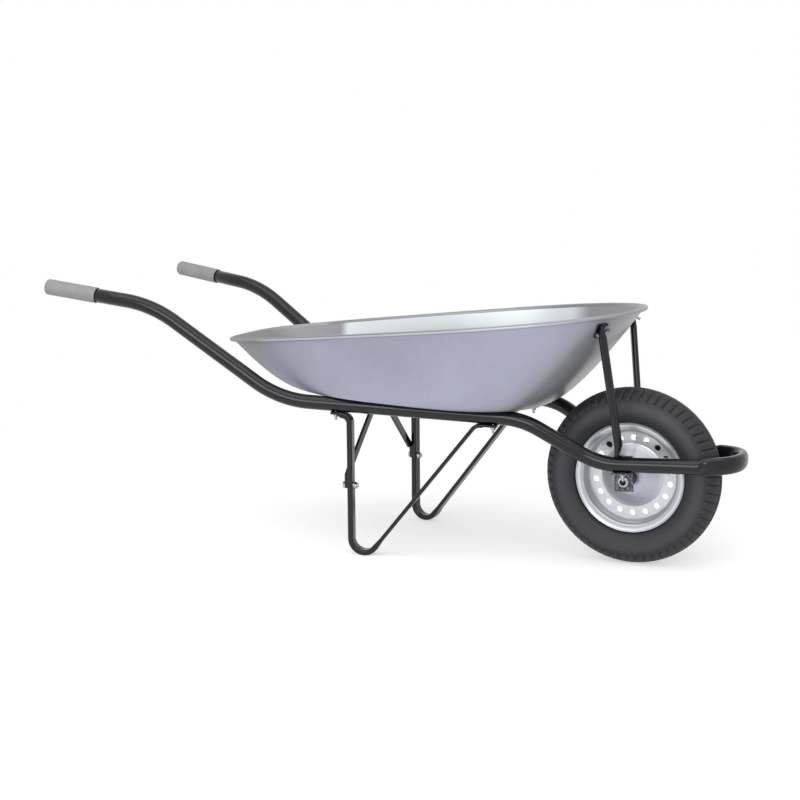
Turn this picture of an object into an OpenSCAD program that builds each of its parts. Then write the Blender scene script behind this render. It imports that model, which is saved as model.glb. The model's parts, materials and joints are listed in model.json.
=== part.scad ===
// Garden wheelbarrow: bent tube frame, pressed tray, flattened-tube legs and a
// pneumatic wheel on a fixed axle. Millimetres, +X forward, +Z up, ground at z = 0,
// x = 0 half way along the barrow, y = 0 on its plane of symmetry.

/* [Overall] */
// From the axle back to the ends of the grips
handle_reach = 1303; // [1200:1:1400]
// From the axle forward to the front of the tube loop
loop_reach = 243; // [238:1:290]
// Height of the tube centre at the grip ends
grip_height = 581; // [550:1:620]
// Distance between the tube centres at the grip ends
grip_spread = 563; // [540:1:590]

/* [Frame tube] */
// Outside diameter of the frame tube
tube_d = 32; // [30:0.5:34]
// Wall of the frame tube
tube_wall = 1.5; // [1.2:0.1:3]
// Angle in plan by which each side of the frame runs inward
toe_angle = 8.3; // [7.6:0.1:8.8]
// Distance between the tube centres beside the wheel
side_spacing = 159; // [154:1:170]
// Height of the tube centre above the axle
side_over_axle = 38.2; // [36:0.1:48]
// Upward slope of the tube beside the wheel, degrees
side_rise = 2.7; // [0:0.1:5]
// Bend at the handles: distance behind the axle
handle_bend_back = 1047; // [1000:1:1090]
// Bend at the handles: height
handle_bend_height = 544; // [530:1:560]
// Bend behind the tray: distance behind the axle
knee_back = 750; // [740:1:780]
// Bend behind the tray: height
knee_height = 341; // [335:1:350]
// Bend ahead of the tray floor: distance behind the axle
dip_back = 210; // [195:1:215]
// Bend ahead of the tray floor: height
dip_height = 319.5; // [315:0.5:325]
// Last bend before the wheel: distance behind the axle
fork_back = 53; // [45:1:60]
// Radii of the four bends on each side, from the handle to the wheel
handle_bend_r = 277; // [200:1:320]
knee_bend_r = 243; // [180:1:260]
dip_bend_r = 162; // [120:1:200]
fork_bend_r = 135; // [110:1:140]

/* [Grips] */
// Length of a grip
grip_len = 126; // [100:1:150]
// Wall of a grip around the tube
grip_wall = 1.9; // [1.5:0.1:4]

/* [Tray] */
// Sheet thickness of the tray
tray_sheet = 1.2; // [0.8:0.1:2]
// Radius of the rolled rim
rim_bead_r = 4.5; // [3:0.1:6]
// Rim outline: rear end behind the axle, and front end ahead of it
rim_back = 939; // [920:1:950]
rim_ahead = 9; // [0:1:20]
// Rim outline: half width half way along, and how much it widens forward
rim_half_w = 219.5; // [212:0.5:235]
rim_taper = 0.1; // [0.06:0.01:0.13]
// Height of the rim over the axle, and its forward slope
rim_height = 547; // [535:1:570]
rim_slope = 0.0985; // [0.08:0.0005:0.11]
// Floor outline: rear and front ends, both behind the axle
floor_back = 746; // [735:1:755]
floor_ahead = 198; // [190:1:215]
// Floor outline: half width half way along
floor_half_w = 204; // [198:1:210]

/* [Legs] */
// Distance of the upright shanks behind the axle
leg_back = 588; // [575:1:600]
// Thickness of the leg tube along the frame, and its width across
leg_thick = 12.5; // [11:0.5:16]
leg_wide = 24; // [20:0.5:26]
// Thickness and width of the diagonal, which is pressed flatter
stay_thick = 8.5; // [7:0.5:11]
stay_wide = 25; // [20:0.5:28]
// Wall of the leg tube
leg_wall = 2; // [1.5:0.1:2.5]
// Thickness of the pressed-flat ends under the frame
leg_end_thick = 5; // [4:0.5:6]
// Angle between the shank and the diagonal
leg_angle = 38.5; // [36:0.5:41]
// Centre-line radius of the foot bend
foot_r = 30.4; // [26:0.2:34]

/* [Leg brace] */
// Width and thickness of the brace bar
brace_wide = 16; // [14:1:20]
brace_thick = 6; // [4:0.5:8]
// Height of the bolts that hold the brace to the legs
brace_bolt_height = 156; // [130:1:190]

/* [Struts] */
// Width and thickness of the strut tube, pressed oval
strut_wide = 15; // [13:0.5:17]
strut_thick = 11; // [9:0.5:12]
// Angle round the tray outline where the strut meets the wall
strut_seat_angle = 20; // [17:0.5:23]
// Height of that place as a share of the wall
strut_seat_level = 0.79; // [0.77:0.01:0.85]
// Thickness of the pads at both ends of a strut
strut_pad_thick = 3; // [2.5:0.5:4]

/* [Axle and brackets] */
// Outside diameter of the axle tube, and its wall
axle_d = 18; // [16:0.5:20]
axle_wall = 2; // [1.5:0.1:3]
// Height of the axle above the ground, which is the tyre's radius
axle_height = 191.4; // [188:0.1:194]
// Thickness, length and drop of the bracket plates below the axle
bracket_thick = 4; // [3:0.5:5]
bracket_len = 40; // [36:1:50]
bracket_drop = 21; // [15:1:24]

/* [Wheel] */
// Width of the tyre
tyre_width = 90; // [80:1:94]
// Number of tread lugs on each shoulder, and the depth of the grooves between them
lug_count = 60; // [40:1:72]
lug_depth = 3; // [1:0.2:4]
// How far the tread reaches down the shoulder from the tyre's outside
tread_reach = 20; // [14:0.5:26]
// Radius of the rim at its flange
flange_r = 119.5; // [116:0.5:122]
// Radius of the seat on which the tyre sits
seat_r = 101.6; // [99:0.1:104]
// Half width of the rim over its flanges
rim_half = 28.5; // [26:0.5:31]
// Sheet thickness of the rim halves
rim_sheet = 2; // [1.5:0.1:2.5]
// Number and diameter of the round holes in the disc, and their pitch radius
hole_count = 18; // [12:1:20]
hole_d = 14; // [10:0.5:16]
hole_pitch_r = 82.5; // [81:0.5:84]
// Outside radius of the hub tube, and its half length
hub_r = 21; // [20:0.5:24]
hub_half = 28; // [27:0.5:34]

/* [Fasteners] */
// Thread diameter of the frame bolts
bolt_d = 6; // [5:0.5:6]
// Thread diameter of the brace bolts
brace_bolt_d = 8; // [6:0.5:8]

/* [Hidden] */
$fn = 64;

steel_black = [0.16, 0.16, 0.17];
zinc = [0.72, 0.74, 0.76];
bright_zinc = [0.85, 0.86, 0.88];
grip_grey = [0.62, 0.62, 0.62];
rubber_black = [0.12, 0.12, 0.13];
plastic_black = [0.2, 0.2, 0.21];

// Seating gap between pieces that lie on each other, and clearance of a bolt in its hole
seat_gap = 0.2;
bolt_play = 0.25;
// Radial running clearance of the wheel on the axle, and its play along the axle
run_play = 0.06;
end_play = 0.4;

tube_r = tube_d / 2;
x_axle = (handle_reach - loop_reach) / 2;
x_grip = x_axle - handle_reach;

// ---- Frame geometry ------------------------------------------------------

// Half distance between the two tube centres at station x, along the toed-in part
function toe_y(x) = grip_spread / 2 - tan(toe_angle) * (x - x_grip);

x_knee = x_axle - knee_back;
x_dip = x_axle - dip_back;
x_fork = x_axle - fork_back;
bed_fall = (knee_height - dip_height) / (x_dip - x_knee);
bed_slope = atan(bed_fall);
// Height of the tube centre along the bed, between the knee and the dip
function bed_z(x) = knee_height - bed_fall * (x - x_knee);
// Height of the tube centre along the straight beside the wheel
function side_z(x) = axle_height + side_over_axle + tan(side_rise) * (x - x_axle);

x_loop = x_axle + loop_reach - tube_r;
loop_bend_r = side_spacing / 2 - 4;

function side_points(s) = [
    [x_grip, s * toe_y(x_grip), grip_height],
    [x_axle - handle_bend_back, s * toe_y(x_axle - handle_bend_back), handle_bend_height],
    [x_knee, s * toe_y(x_knee), knee_height],
    [x_dip, s * toe_y(x_dip), dip_height],
    [x_fork, s * side_spacing / 2, side_z(x_fork)],
    [x_loop, s * side_spacing / 2, side_z(x_loop)]
];
side_radii = [handle_bend_r, knee_bend_r, dip_bend_r, fork_bend_r, loop_bend_r];

function reversed(list) = [for (i = [len(list) - 1:-1:0]) list[i]];
function unit(v) = v / norm(v);

// Turn between two legs of a path, and the length that a fillet takes from each
function turn(a, b, c) = acos(unit(b - a) * unit(c - b));
function trim(a, b, c, r) = r * tan(turn(a, b, c) / 2);
function trim_at(points, radii, i) =
    i == 0 || i == len(points) - 1 ? 0 : trim(points[i - 1], points[i], points[i + 1], radii[i - 1]);
// A direction square to d that keeps a profile's second axis level where it can be
function square_to(d) = abs(d[1]) > 0.9 ? [1, 0, 0] : cross([0, 1, 0], d);

// Puts children in a right-handed frame: their z along z_dir, their x towards x_dir
module place(origin, z_dir, x_dir) {
    z = unit(z_dir);
    y = unit(cross(z, x_dir));
    x = cross(y, z);
    multmatrix([
        [x[0], y[0], z[0], origin[0]],
        [x[1], y[1], z[1], origin[1]],
        [x[2], y[2], z[2], origin[2]],
        [0, 0, 0, 1]
    ]) children();
}

// Length by which a bend laps into the straights, and how much thinner it is drawn there
lap = 1;
hair = 0.05;

// Sweeps a hollow profile along straight runs joined by round bends. The first child is
// the profile of the straights, the second the slightly thinner one of the bends.
module sweep(points, radii) {
    last = len(points) - 1;
    for (i = [0:last - 1]) {
        d = unit(points[i + 1] - points[i]);
        start = trim_at(points, radii, i);
        stop = norm(points[i + 1] - points[i]) - trim_at(points, radii, i + 1);
        place(points[i] + d * start, d, square_to(d)) linear_extrude(stop - start) children(0);
    }
    for (i = [1:last - 1])
        bend(points[i - 1], points[i], points[i + 1], radii[i - 1]) children(1);
}

// One round bend of a swept profile, tangent to both legs at corner b
module bend(a, b, c, r) {
    d1 = unit(b - a);
    d2 = unit(c - b);
    inward = unit(d2 - d1 * (d1 * d2));
    centre = b - d1 * trim(a, b, c, r) + inward * r;
    over = lap / r * 180 / PI;
    place(centre, cross(d1, inward), -inward)
        rotate_extrude(angle = turn(a, b, c) + 2 * over, start = -over, $fn = 128)
            translate([r, 0]) children();
}

module ring_profile(r, wall) {
    difference() {
        circle(r);
        circle(r - wall);
    }
}

// A rectangle with rounded corners, w along x and h along y
module soft_rect(w, h, r, fn = 24) {
    square([w - 2 * r, h], center = true);
    square([w, h - 2 * r], center = true);
    for (sx = [-1, 1], sy = [-1, 1])
        translate([sx * (w / 2 - r), sy * (h / 2 - r)]) circle(r, $fn = fn);
}

module both_sides() {
    children();
    mirror([0, 1, 0]) children();
}

// ---- Frame tube and grips -------------------------------------------------

grip_dir = unit(side_points(-1)[1] - side_points(-1)[0]);

module frame_tube() {
    color(steel_black) difference() {
        sweep(concat(side_points(-1), reversed(side_points(1))), concat(side_radii, reversed(side_radii))) {
            ring_profile(tube_r, tube_wall);
            ring_profile(tube_r - hair, tube_wall - 2 * hair);
        }
        both_sides() {
            for (u = leg_bolt_stations) bed_frame(u)
                cylinder(h = 3 * tube_d, d = bolt_d + bolt_play, center = true);
            axle_frame() translate([0, -side_spacing / 2, 0])
                cylinder(h = 3 * tube_d, d = bolt_d + bolt_play);
        }
    }
}

// A moulded sleeve with a closed, rounded end, pushed over the tube
module grip() {
    outer = tube_r + grip_wall;
    end_round = 6;
    color(grip_grey) place(side_points(-1)[0], grip_dir, [0, 1, 0]) rotate_extrude() difference() {
        union() {
            translate([0, -grip_wall]) square([outer - end_round, grip_len]);
            translate([0, end_round - grip_wall]) square([outer, grip_len - end_round]);
            translate([outer - end_round, end_round - grip_wall]) circle(end_round);
        }
        square([tube_r + seat_gap / 4, 2 * grip_len]);
        translate([-outer, -grip_wall]) square([outer, 2 * grip_len]);
    }
}

module grip_right() { grip(); }
module grip_left() { mirror([0, 1, 0]) grip(); }

// ---- Tray -------------------------------------------------------------------

// How square the outlines are: 2 is an ellipse, more is squarer. Each has a value for
// its rear and its front, for the length and for the width.
rim_square = [[4.3, 3.85], [1.6, 2.5]];
floor_square = [[3.17, 3.17], [2.6, 2.6]];
// Where the straight wall would meet the floor, as a share of the wall's reach:
// behind, at the sides and in front
wall_corner = [0.43, 0.55, 0.15];
// Height of the fillet between floor and wall, as a share of the wall
fillet_share = 0.85;
tray_segments = 80;
fillet_rings = 7;
curl_rings = 8;

function signed_pow(v, e) = sign(v) * pow(abs(v), e);
function blend_ends(pair, t) = pair[0] + (pair[1] - pair[0]) * (1 + cos(t)) / 2;
// Point of an outline between stations x0 and x1 at angle t, 0 at the front
function outline(x0, x1, half_w, taper, sq, t) =
    let (ex = blend_ends([sq[0][0], sq[1][0]], t), ey = blend_ends([sq[0][1], sq[1][1]], t))
    let (dx = (x1 - x0) / 2 * signed_pow(cos(t), 2 / ex))
    [(x0 + x1) / 2 + dx, (half_w + taper * dx) * signed_pow(sin(t), 2 / ey)];

function rim_outline(t) =
    outline(x_axle - rim_back, x_axle + rim_ahead, rim_half_w, rim_taper, rim_square, t);
function floor_outline(t) =
    outline(x_axle - floor_back, x_axle - floor_ahead, floor_half_w, 0, floor_square, t);
function floor_z(x) = bed_z(x) + tube_r / cos(bed_slope) + seat_gap;
function rim_z(x) = rim_height + rim_slope * (x - x_axle);
function corner_share(t) =
    let (c = cos(t))
    wall_corner[1] + (c < 0 ? wall_corner[0] - wall_corner[1] : wall_corner[2] - wall_corner[1]) * c * c;
// Reach and rise along the wall, both 0 at the floor and 1 at the rim
function wall_curve(t, v) =
    let (c = corner_share(t), g = fillet_share, f = 0.75)
    v < f ? let (s = v / f) [2 * s * (1 - s) * c + s * s * (c + (1 - c) * g), s * s * g]
          : let (rise = g + (1 - g) * (v - f) / (1 - f)) [c + (1 - c) * rise, rise];
// Outer skin of the tray, t round the outline and v from the floor up to the rim
function skin(t, v) =
    let (a = floor_outline(t), b = rim_outline(t), w = wall_curve(t, v), p = a + (b - a) * w[0])
    [p[0], p[1], floor_z(p[0]) * (1 - w[1]) + rim_z(p[0]) * w[1]];
function skin_normal(t, v) =
    unit(cross(skin(t + 0.5, v) - skin(t - 0.5, v), skin(t, v + 0.01) - skin(t, v - 0.01)));
// Inner skin, one sheet thickness away and level with the floor where the floor ends
function inner_skin(t, v) =
    v == 0 ? skin(t, 0) + [0, 0, tray_sheet / cos(bed_slope)] : skin(t, v) - tray_sheet * skin_normal(t, v);
// Point of the rolled rim at radius r and angle a round its centre, 0 outward and 90 up
function curl(t, r, a) =
    let (n = skin_normal(t, 0.98), out = unit([n[0], n[1], 0]))
    skin(t, 1) + out * (rim_bead_r - tray_sheet + r * cos(a)) + [0, 0, r * sin(a)];

tray_levels = concat([for (i = [0:fillet_rings - 1]) 0.75 * i / (fillet_rings - 1)], [0.97]);
curl_angles = [for (i = [0:curl_rings - 1]) 160 - 290 * i / (curl_rings - 1)];
tray_angles = [for (i = [0:tray_segments - 1]) 360 * (i + 0.5) / tray_segments];
tray_rings = concat(
    [for (v = tray_levels) [for (t = tray_angles) skin(t, v)]],
    [for (a = curl_angles) [for (t = tray_angles) curl(t, rim_bead_r - tray_sheet, a)]],
    [for (a = reversed(curl_angles)) [for (t = tray_angles) curl(t, rim_bead_r, a)]],
    [for (v = reversed(tray_levels)) [for (t = tray_angles) inner_skin(t, v)]]
);

// Pressed sheet: outer skin, inside and outside of the rolled rim, then the inner skin
module tray_shell() {
    n = tray_segments;
    m = len(tray_rings);
    skins = [for (j = [0:m - 2], i = [0:n - 1])
        let (a = j * n + i, b = j * n + (i + 1) % n)
        each (j < m / 2 ? [[a, b, b + n], [a, b + n, a + n]] : [[a, b, a + n], [b, b + n, a + n]])];
    bottom = [[for (i = [0:n - 1]) n - 1 - i]];
    top = [[for (i = [0:n - 1]) (m - 1) * n + i]];
    polyhedron([for (ring = tray_rings) each ring], concat(bottom, skins, top), convexity = 6);
}

// Where the two bolts of a strut pad pass through the tray wall
module strut_seat(at = [0, 0]) {
    place(strut_seat_point, strut_seat_dir, strut_seat_side) translate([at[0], at[1], 0]) children();
}

module tray() {
    color(zinc) difference() {
        tray_shell();
        both_sides() {
            for (u = leg_bolt_stations) bed_frame(u) cylinder(h = 3 * tube_d, d = bolt_d + bolt_play);
            for (spot = strut_bolts) strut_seat(spot)
                cylinder(h = 8 * tray_sheet, d = bolt_d + bolt_play, center = true);
        }
    }
}

// ---- Legs -------------------------------------------------------------------

x_leg = x_axle - leg_back;
// Local frame of the right leg: x along the toed-in tube, z up, origin below the shank
module leg_frame() {
    translate([x_leg, -toe_y(x_leg), 0]) rotate([0, 0, toe_angle]) children();
}
// Underside of the tube at local station u
bed_tilt = atan(bed_fall * cos(toe_angle));
function under_tube(u) =
    bed_z(x_leg + u * cos(toe_angle)) - (tube_r + seat_gap) / cos(bed_tilt);
// Frame square to the bed at local station u, origin on the tube's centre line
module bed_frame(u) {
    leg_frame() translate([u, 0, bed_z(x_leg + u * cos(toe_angle))]) rotate([0, bed_tilt, 0]) children();
}

top_bend_r = 18;
front_bend_r = 20;
leg_corner_r = 3.6;
leg_end_len = 20;
flatten_len = 4.5;
foot_vertex = leg_thick / 2 + foot_r - foot_r / tan(leg_angle / 2);
stay_top = (under_tube(280) - leg_end_thick / 2 - foot_vertex) * tan(leg_angle);
// Local stations of the two bolts that hold each leg to the frame and the tray
leg_bolt_stations = [-top_bend_r - 14, stay_top + front_bend_r * 0.5 + 28];

rear_z = under_tube(0) - leg_thick / 2;
foot_trim = foot_r / tan(leg_angle / 2);
stay_dir = [sin(leg_angle), 0, cos(leg_angle)];
foot_point = [0, 0, foot_vertex];
shank_points = [
    [-top_bend_r - 2.5, 0, rear_z + tan(bed_tilt) * (top_bend_r + 2.5)],
    [0, 0, rear_z],
    foot_point,
    foot_point + stay_dir * (foot_trim + 4)
];
stay_corner = [stay_top, 0, under_tube(stay_top) - stay_thick / 2];
stay_points = [
    foot_point + stay_dir * (foot_trim + 24),
    stay_corner,
    stay_corner + [1, 0, -tan(bed_tilt)] * (front_bend_r * 0.5 + 4)
];

module leg_profile(w, h, thin = 0) {
    difference() {
        soft_rect(w - 2 * thin, h - 2 * thin, leg_corner_r - thin);
        soft_rect(w - 2 * leg_wall + 2 * thin, h - 2 * leg_wall + 2 * thin, leg_corner_r - leg_wall);
    }
}

// Pressed-flat end of a leg under the frame tube, from station u0 to u1, with its bolt hole
module leg_end(u0, u1, bolt_u) {
    bed_frame(bolt_u) translate([0, 0, -tube_r - seat_gap - leg_end_thick]) difference() {
        linear_extrude(leg_end_thick) translate([(u0 + u1) / 2 - bolt_u, 0])
            soft_rect(u1 - u0, leg_wide + 4, 5);
        translate([0, 0, -1]) cylinder(h = leg_end_thick + 2, d = bolt_d + bolt_play);
    }
}

// Thin slices, a hair inside the flat end and the tube that a pressed transition joins
module leg_end_slice(u) {
    leg_frame() translate([u, 0, under_tube(u) - leg_end_thick / 2]) rotate([0, bed_tilt, 0])
        cube([1, leg_wide, leg_end_thick - 0.2], center = true);
}
module leg_slice(p, d, w, h) {
    leg_frame() place(p, d, square_to(d)) linear_extrude(0.5)
        soft_rect(w - 0.1, h - 0.1, leg_corner_r - 0.05);
}

module leg() {
    rear_u = leg_bolt_stations[0];
    front_u = leg_bolt_stations[1];
    rear_flat = shank_points[0][0] - flatten_len;
    front_flat = stay_points[2][0] + flatten_len;
    color(steel_black) difference() {
        union() {
            leg_frame() sweep(shank_points, [top_bend_r, foot_r]) {
                leg_profile(leg_thick, leg_wide);
                leg_profile(leg_thick, leg_wide, hair);
            }
            leg_frame() sweep(stay_points, [front_bend_r]) {
                leg_profile(stay_thick, stay_wide);
                leg_profile(stay_thick, stay_wide, hair);
            }
            leg_end(rear_u - leg_end_len / 2, rear_flat, rear_u);
            leg_end(front_flat, front_u + leg_end_len / 2, front_u);
            hull() {
                leg_end_slice(rear_flat - 1);
                leg_slice(shank_points[0] + [0.3, 0, 0], [1, 0, -tan(bed_tilt)], leg_thick, leg_wide);
            }
            hull() {
                leg_end_slice(front_flat + 2);
                leg_slice(stay_points[2] - [1, 0, 0], [1, 0, -tan(bed_tilt)], stay_thick, stay_wide);
            }
            hull() {
                leg_slice(shank_points[3] - stay_dir, stay_dir, leg_thick, leg_wide);
                leg_slice(stay_points[0] + stay_dir, stay_dir, stay_thick, stay_wide);
            }
        }
        leg_frame() translate([0, 0, brace_bolt_height]) rotate([0, 90, 0])
            cylinder(h = 4 * leg_thick, d = brace_bolt_d + bolt_play, center = true);
    }
}

module leg_right() { leg(); }
module leg_left() { mirror([0, 1, 0]) leg(); }

// ---- Leg brace ----------------------------------------------------------------

x_brace = x_leg - leg_thick / 2 - brace_thick / 2 - 3 * seat_gap - leg_wide / 2 * sin(toe_angle);
brace_foot_y = toe_y(x_leg);
brace_top_z = floor_z(x_brace) - seat_gap - brace_wide * 0.72;
tab_len = 26;

// Tab of the brace that lies on the back of the right leg, round its bolt
module brace_tab() {
    leg_frame() translate([-leg_thick / 2 - seat_gap - brace_thick, 0, brace_bolt_height])
        rotate([0, 90, 0]) linear_extrude(brace_thick) {
            circle(brace_wide / 2);
            translate([-tab_len, -brace_wide / 2]) square([tab_len, brace_wide]);
        }
}

// Slab a hair thinner than the bar, on the tab's end or on the arm's end
module brace_slab(len) {
    cube([brace_thick - 0.1, brace_wide - 0.1, len], center = true);
}

module leg_brace() {
    foot = [-brace_foot_y + 10, brace_bolt_height + tab_len];
    arm = [0, brace_top_z] - foot;
    arm_angle = atan2(arm[1], arm[0]);
    color(steel_black) difference() {
        union() {
            translate([x_brace - brace_thick / 2, 0, 0]) rotate([90, 0, 90]) linear_extrude(brace_thick) {
                translate([0, brace_top_z]) circle(brace_wide / 2);
                for (s = [0, 1]) mirror([s, 0]) translate(foot) rotate(arm_angle)
                    translate([0, -brace_wide / 2]) square([norm(arm), brace_wide]);
            }
            both_sides() {
                brace_tab();
                hull() {
                    leg_frame()
                        translate([
                            -leg_thick / 2 - seat_gap - brace_thick / 2, 0,
                            brace_bolt_height + tab_len - 2
                        ])
                        brace_slab(1);
                    translate([x_brace, foot[0], foot[1]]) rotate([arm_angle - 90, 0, 0])
                        translate([0, 0, 2]) brace_slab(1);
                }
            }
        }
        both_sides() leg_frame() translate([0, 0, brace_bolt_height]) rotate([0, 90, 0])
            cylinder(h = 6 * leg_thick, d = brace_bolt_d + bolt_play, center = true);
    }
}

// ---- Struts -------------------------------------------------------------------

saddle_len = 34;
saddle_half_angle = 38;
saddle_back = 14;

// Frame of the right bracket: origin on the axle's centre, x along the tube beside the wheel
module axle_frame() {
    translate([x_axle, 0, axle_height]) rotate([0, -side_rise, 0]) children();
}
tube_over_axle = side_over_axle * cos(side_rise);

// Saddle that wraps the top of the tube beside the wheel
module strut_saddle() {
    inner = tube_r + seat_gap;
    axle_frame() translate([-saddle_back, -side_spacing / 2, tube_over_axle]) rotate([0, 90, 0])
        rotate([0, 0, 180 - saddle_half_angle]) linear_extrude(saddle_len) difference() {
            intersection() {
                circle(inner + strut_pad_thick);
                polygon([
                    [0, 0], [2 * tube_d, 0],
                    2 * tube_d * [cos(2 * saddle_half_angle), sin(2 * saddle_half_angle)]
                ]);
            }
            circle(inner);
        }
}

strut_pad_w = 27;
strut_pad_h = 34;
// Bolts of the pad: place on it from its middle, and length from under the head. The
// lower one is shorter, because it ends under the tube.
strut_bolts = [[6.5, 9.5, 20], [-6.5, -9.5, 14]];
// Room under the heads of these bolts, since the tray wall curves round them
head_room = 0.55;
// Where the tube is pressed flat on to the upper edge of the pad, left of the upper bolt
strut_landing = [-5, 12];
strut_landing_w = 7;
// Foot of the strut on the saddle, behind its bolt, and the knee where the tube is full
strut_foot = [x_axle - saddle_back + 3.5, -side_spacing / 2, side_z(x_axle) + tube_r + strut_pad_thick];
strut_knee = strut_foot + [1.5, -5, 20];
strut_seat_point = skin(-strut_seat_angle, strut_seat_level);
strut_seat_dir = skin_normal(-strut_seat_angle, strut_seat_level);
strut_seat_side = unit(skin(1 - strut_seat_angle, strut_seat_level) - strut_seat_point);
strut_seat_up = cross(strut_seat_dir, strut_seat_side);
// Middle of the tube over its landing, and its direction on the way up
strut_top = strut_seat_point + strut_landing[0] * strut_seat_side + strut_landing[1] * strut_seat_up
    + (strut_pad_thick + strut_thick / 2) * strut_seat_dir;
strut_dir = unit(strut_top - strut_knee);
// How far below its landing the round part of the tube ends
strut_flat_len = 22;
strut_head = strut_top - strut_flat_len * strut_dir;

module strut_slice(p, len, thin = 0) {
    place(p, strut_dir, strut_seat_side) linear_extrude(len)
        soft_rect(strut_wide - 2 * thin, strut_thick - 2 * thin, strut_thick / 2 - 0.3 - thin);
}

module strut() {
    over_tube = tube_over_axle + tube_r + seat_gap;
    color(steel_black) difference() {
        union() {
            strut_saddle();
            strut_slice(strut_knee, norm(strut_head - strut_knee));
            hull() {
                strut_slice(strut_knee + strut_dir, 1, 0.1);
                axle_frame()
                    translate([strut_foot[0] - x_axle, -side_spacing / 2, over_tube + strut_pad_thick / 2])
                    cube([7, strut_wide, strut_pad_thick / 2], center = true);
            }
            hull() {
                strut_slice(strut_head - strut_dir * 2, 1, 0.1);
                strut_seat(strut_landing) translate([0, 0, seat_gap + strut_pad_thick - 0.5])
                    cube([strut_landing_w, 6, 4], center = true);
            }
            strut_seat() translate([0, 0, seat_gap]) linear_extrude(strut_pad_thick)
                soft_rect(strut_pad_w, strut_pad_h, 5);
        }
        for (spot = strut_bolts) strut_seat(spot)
            cylinder(h = 2 * (strut_pad_thick + seat_gap) + 1, d = bolt_d + bolt_play, center = true);
        axle_frame() translate([0, -side_spacing / 2, 0]) cylinder(h = 3 * tube_d, d = bolt_d + bolt_play);
    }
}

module strut_right() { strut(); }
module strut_left() { mirror([0, 1, 0]) strut(); }

// ---- Axle, brackets and spacers -------------------------------------------------

flange_w = 24;
bracket_top = tube_over_axle - tube_r - seat_gap;
plate_outer = side_spacing / 2 - bolt_d;
axle_half = plate_outer + 7;

module axle_bracket() {
    color(steel_black) axle_frame() difference() {
        union() {
            translate([-bracket_len / 2, -plate_outer, -bracket_drop])
                cube([bracket_len, bracket_thick, bracket_top + bracket_drop]);
            translate([
                -bracket_len / 2, -plate_outer - flange_w + bracket_thick,
                bracket_top - bracket_thick
            ])
                cube([bracket_len, flange_w, bracket_thick]);
        }
        rotate([90, 0, 0]) cylinder(h = 2 * side_spacing, d = axle_d + bolt_play, center = true);
        translate([0, -side_spacing / 2, 0]) cylinder(h = 2 * tube_d, d = bolt_d + bolt_play);
    }
}
module axle_bracket_right() { axle_bracket(); }
module axle_bracket_left() { mirror([0, 1, 0]) axle_bracket(); }

// Hollow axle with its ends rolled over against the brackets
module axle_tube() {
    color(bright_zinc) translate([x_axle, 0, axle_height]) rotate([90, 0, 0]) {
        difference() {
            union() {
                cylinder(h = 2 * axle_half, d = axle_d, center = true);
                for (s = [-1, 1]) translate([0, 0, s * (plate_outer + seat_gap + 1)])
                    cylinder(h = 2, d = axle_d + 4, center = true);
            }
            cylinder(h = 2 * axle_half + 2, d = axle_d - 2 * axle_wall, center = true);
            // Notch over each end, in which the end of the bracket bolt keeps the axle from turning
            for (s = [-1, 1]) translate([0, 0, s * side_spacing / 2]) rotate([-90, 0, 0])
                cylinder(h = axle_d, d = bolt_d + 1.5);
        }
    }
}

bush_flange = 3;
bush_flange_r = 16;
spacer_r = 15;
spacer_start = hub_half + bush_flange + end_play;

module axle_spacer() {
    color(plastic_black) translate([x_axle, -spacer_start, axle_height]) rotate([90, 0, 0])
        difference() {
            cylinder(h = plate_outer - bracket_thick - seat_gap - spacer_start, r = spacer_r);
            translate([0, 0, -1]) cylinder(h = side_spacing, d = axle_d + 2 * run_play);
        }
}
module axle_spacer_right() { axle_spacer(); }
module axle_spacer_left() { mirror([0, 1, 0]) axle_spacer(); }

// ---- Fasteners -----------------------------------------------------------------

function nut_across(d) = d < 7 ? 10 : 13;
function nut_high(d) = 0.8 * d;
washer_thick = 1.2;

module hex_nut(d) {
    difference() {
        cylinder(h = nut_high(d), d = nut_across(d) / cos(30), $fn = 6);
        translate([0, 0, -1]) cylinder(h = nut_high(d) + 2, d = d + 2 * run_play);
    }
}
// Bolt with a low domed head on z = 0 and its shank down -z
module dome_bolt(d, len) {
    rotate_extrude() {
        intersection() {
            translate([0, -1.2 * d]) circle(1.55 * d);
            square([d, d]);
        }
        translate([0, -len]) square([d / 2, len + 0.1]);
    }
}
module hex_bolt(d, len) {
    cylinder(h = 0.65 * d, d = nut_across(d) / cos(30), $fn = 6);
    translate([0, 0, -len]) cylinder(h = len + 0.1, d = d);
}
module washer(d) {
    difference() {
        cylinder(h = washer_thick, d = 2 * d);
        translate([0, 0, -1]) cylinder(h = washer_thick + 2, d = d + 2 * run_play);
    }
}

tray_bolt_len = tube_d + tray_sheet + leg_end_thick + nut_high(bolt_d) + 3 * seat_gap + 9;
under_leg_end = -tube_r - seat_gap - leg_end_thick - seat_gap;

module tray_bolts() {
    color(bright_zinc) both_sides() for (u = leg_bolt_stations)
        bed_frame(u) translate([0, 0, tube_r + tray_sheet + 2 * seat_gap]) dome_bolt(bolt_d, tray_bolt_len);
}
module tray_bolt_washers() {
    color(bright_zinc) both_sides() for (u = leg_bolt_stations)
        bed_frame(u) translate([0, 0, under_leg_end - washer_thick]) washer(bolt_d);
}
module tray_bolt_nuts() {
    color(bright_zinc) both_sides() for (u = leg_bolt_stations)
        bed_frame(u) translate([0, 0, under_leg_end - washer_thick - seat_gap / 2 - nut_high(bolt_d)])
            hex_nut(bolt_d);
}

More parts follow.
